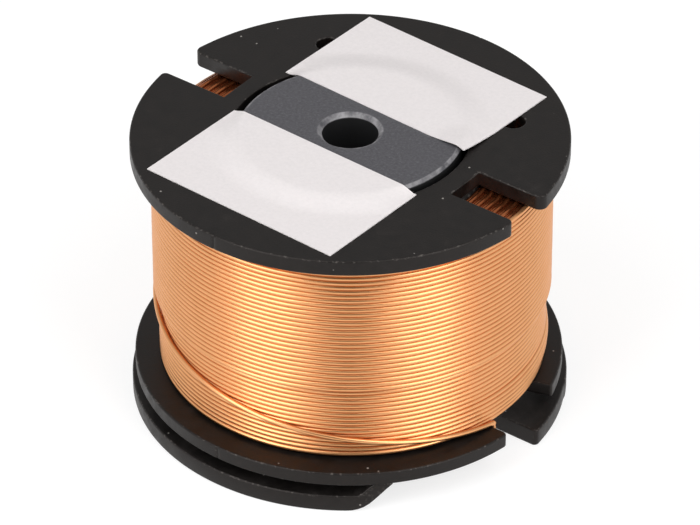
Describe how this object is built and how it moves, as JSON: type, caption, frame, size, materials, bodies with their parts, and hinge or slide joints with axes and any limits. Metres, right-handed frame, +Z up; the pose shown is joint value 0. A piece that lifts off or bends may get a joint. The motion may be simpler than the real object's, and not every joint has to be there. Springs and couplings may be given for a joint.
{
  "type": "inductor",
  "caption": "Ferrite-cored inductor: enamelled copper wire wound on a round plastic bobbin with notched flanges and a wire slot round its foot.",
  "frame": {"origin": "centre of the face that the inductor stands on, under the bobbin's axis", "axes": "+Z up the bobbin's axis, +X through one of the two notches in each flange"},
  "size_m": [0.0444, 0.045, 0.032],
  "materials": {
    "bobbin": "black moulded plastic, finely matt",
    "core": "sintered ferrite, dark grey, matt with fine grain",
    "wire": "copper wire under clear enamel, glossy",
    "label": "thin white paper sticker, matt, blank"
  },
  "bodies": {
    "root": {"bobbin": "bobbin", "ferrite_core": "core", "winding": "wire", "finish_lead": "wire", "start_lead": "wire", "label_rear": "label", "label_front": "label"}
  },
  "joints": []
}
